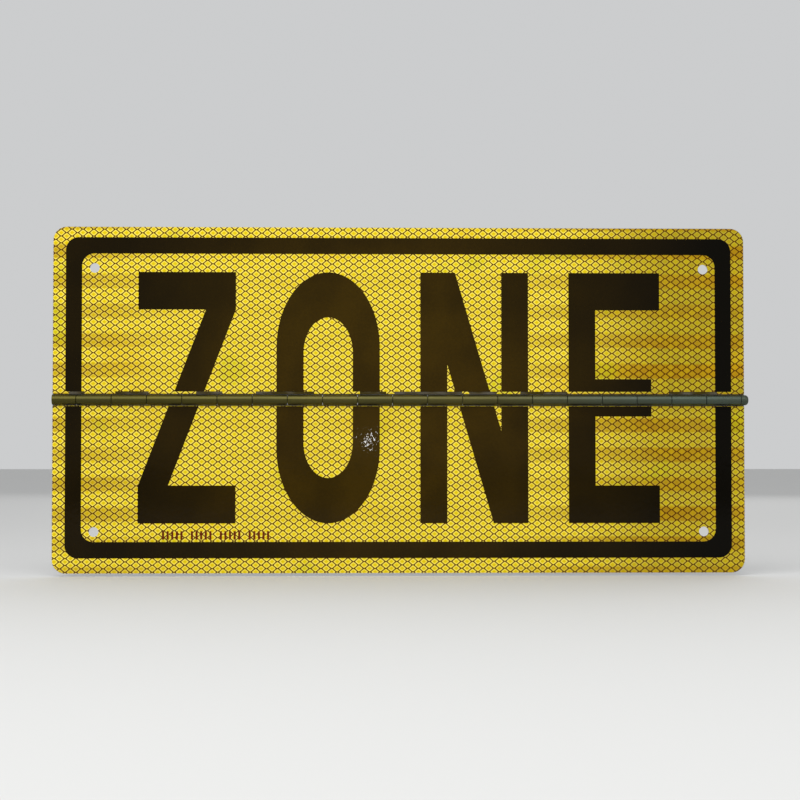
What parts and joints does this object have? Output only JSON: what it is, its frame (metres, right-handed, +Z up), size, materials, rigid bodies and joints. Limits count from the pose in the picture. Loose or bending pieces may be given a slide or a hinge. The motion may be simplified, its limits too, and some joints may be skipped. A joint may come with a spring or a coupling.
{
  "type": "folding road sign panel",
  "caption": "Two yellow retroreflective sign plates joined edge to edge by a rolled hinge, with a printed border and legend; the upper half folds down to hide it.",
  "frame": {"origin": "centre of the four corner holes, on the plates' flat back plane", "axes": "+X to the reader's right along the hinge, +Z up the open sign, +Y backwards into the surface it is fixed to; the printed face looks to -Y"},
  "size_m": [0.5026, 0.0087, 0.25],
  "materials": {
    "plate_aluminium": "mill-finish sheet, faint rolling lines along X",
    "reflective_yellow": "retroreflective film with fine diamond cells, glossy",
    "printed_black": "semi-gloss ink over the film",
    "printed_red": "semi-gloss ink over the film",
    "hinge_steel": "rolled stainless strip, fine lines along X",
    "rivet_aluminium": "plain bright"
  },
  "bodies": {
    "lower_half": {"hinge_pin": "hinge_steel", "lower_border": "printed_black", "lower_hinge_leaf": "hinge_steel", "lower_legend_1": "printed_black", "lower_legend_2": "printed_black", "lower_legend_3": "printed_black", "lower_legend_4": "printed_black", "lower_marks": "printed_red", "lower_plate": "plate_aluminium", "lower_rivet_1": "rivet_aluminium", "lower_rivet_2": "rivet_aluminium", "lower_rivet_3": "rivet_aluminium", "lower_rivet_4": "rivet_aluminium", "lower_rivet_5": "rivet_aluminium", "lower_rivet_6": "rivet_aluminium", "lower_rivet_7": "rivet_aluminium", "lower_rivet_8": "rivet_aluminium", "lower_sheeting": "reflective_yellow"},
    "upper_half": {"upper_border": "printed_black", "upper_hinge_leaf": "hinge_steel", "upper_legend_1": "printed_black", "upper_legend_2": "printed_black", "upper_legend_3": "printed_black", "upper_legend_4": "printed_black", "upper_plate": "plate_aluminium", "upper_rivet_1": "rivet_aluminium", "upper_rivet_2": "rivet_aluminium", "upper_rivet_3": "rivet_aluminium", "upper_rivet_4": "rivet_aluminium", "upper_rivet_5": "rivet_aluminium", "upper_rivet_6": "rivet_aluminium", "upper_rivet_7": "rivet_aluminium", "upper_rivet_8": "rivet_aluminium", "upper_sheeting": "reflective_yellow"}
  },
  "joints": [
    {"name": "fold", "type": "hinge", "parent": "lower_half", "child": "upper_half", "pos_m": [0, -0.00225, 0], "axis": [1, 0, 0], "range_deg": [0, 180]}
  ]
}
